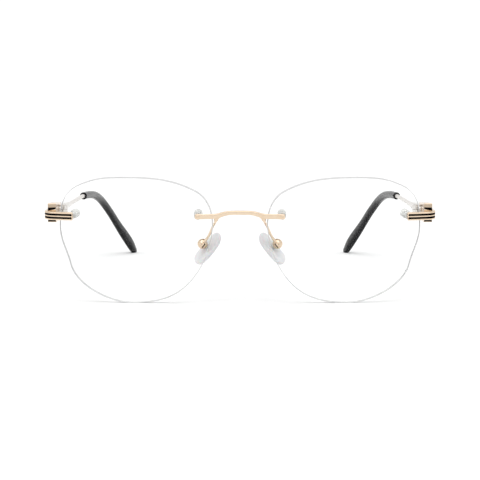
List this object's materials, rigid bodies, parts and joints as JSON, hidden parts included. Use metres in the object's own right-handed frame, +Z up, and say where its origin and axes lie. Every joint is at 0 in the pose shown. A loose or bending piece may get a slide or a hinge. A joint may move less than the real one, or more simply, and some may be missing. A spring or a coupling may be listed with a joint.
{
  "type": "rimless eyeglasses",
  "caption": "Rimless eyeglasses with drilled clear lenses, a striped metal endpiece, adjustable nose pads and folding temples with sleeve tips.",
  "frame": {"origin": "middle of the footprint, on the surface that the open glasses stand on, resting on the lower lens edges and the temple tip ends", "axes": "+Z up, the lenses face -Y, the temples run back along +Y, +X is the wearer's left"},
  "size_m": [0.1378, 0.1466, 0.0453],
  "materials": {
    "lens": "clear optical plastic, polished edge",
    "gold": "polished pale rose gold plating",
    "pale_metal": "polished pale metal",
    "enamel": "glossy black enamel",
    "clear_plastic": "clear moulded plastic",
    "pad": "translucent silicone",
    "tip": "satin black acetate"
  },
  "bodies": {
    "front": {"bridge": "gold", "left_lens": "lens", "left_lower_stripe": "enamel", "left_upper_stripe": "enamel", "left_upper_block_inlay": "enamel", "left_lower_block_inlay": "enamel", "left_endpiece": "gold", "left_endpiece_hinge_leaf": "pale_metal", "left_hinge_screw": "pale_metal", "left_pad_box": "gold", "left_pad_screw": "gold", "left_pad_arm": "gold", "left_nasal_screw": "gold", "left_temporal_post": "pale_metal", "left_nasal_front_washer": "clear_plastic", "left_nasal_bushing": "clear_plastic", "left_nasal_rear_washer": "pale_metal", "left_nasal_cap_nut": "clear_plastic", "left_temporal_front_washer": "clear_plastic", "left_temporal_bushing": "clear_plastic", "left_temporal_rear_washer": "pale_metal", "left_temporal_cap_nut": "clear_plastic", "right_lens": "lens", "right_lower_stripe": "enamel", "right_upper_stripe": "enamel", "right_upper_block_inlay": "enamel", "right_lower_block_inlay": "enamel", "right_endpiece": "gold", "right_endpiece_hinge_leaf": "pale_metal", "right_hinge_screw": "pale_metal", "right_pad_box": "gold", "right_pad_screw": "gold", "right_pad_arm": "gold", "right_nasal_screw": "gold", "right_temporal_post": "pale_metal", "right_nasal_front_washer": "clear_plastic", "right_nasal_bushing": "clear_plastic", "right_nasal_rear_washer": "pale_metal", "right_nasal_cap_nut": "clear_plastic", "right_temporal_front_washer": "clear_plastic", "right_temporal_bushing": "clear_plastic", "right_temporal_rear_washer": "pale_metal", "right_temporal_cap_nut": "clear_plastic"},
    "left_temple_arm": {"left_temple": "pale_metal", "left_temple_tip": "tip", "left_temple_hinge_leaf": "pale_metal"},
    "left_pad": {"left_nose_pad": "pad", "left_pad_insert": "pale_metal"},
    "right_temple_arm": {"right_temple": "pale_metal", "right_temple_tip": "tip", "right_temple_hinge_leaf": "pale_metal"},
    "right_pad": {"right_nose_pad": "pad", "right_pad_insert": "pale_metal"}
  },
  "joints": [
    {"name": "left_temple_fold", "type": "hinge", "parent": "front", "child": "left_temple_arm", "pos_m": [0.0637, -0.05208, 0.03143], "axis": [0, 0, 1], "range_deg": [0, 86]},
    {"name": "right_temple_fold", "type": "hinge", "parent": "front", "child": "right_temple_arm", "pos_m": [-0.0637, -0.05208, 0.03143], "axis": [0, 0, -1], "range_deg": [0, 80]},
    {"name": "left_pad_rock", "type": "hinge", "parent": "front", "child": "left_pad", "pos_m": [0.01347, -0.05908, 0.02047], "axis": [0.2384, 0.9253, 0.2951], "range_deg": [-10, 10]},
    {"name": "right_pad_rock", "type": "hinge", "parent": "front", "child": "right_pad", "pos_m": [-0.01347, -0.05908, 0.02047], "axis": [0.2384, -0.9253, -0.2951], "range_deg": [-10, 10]}
  ]
}
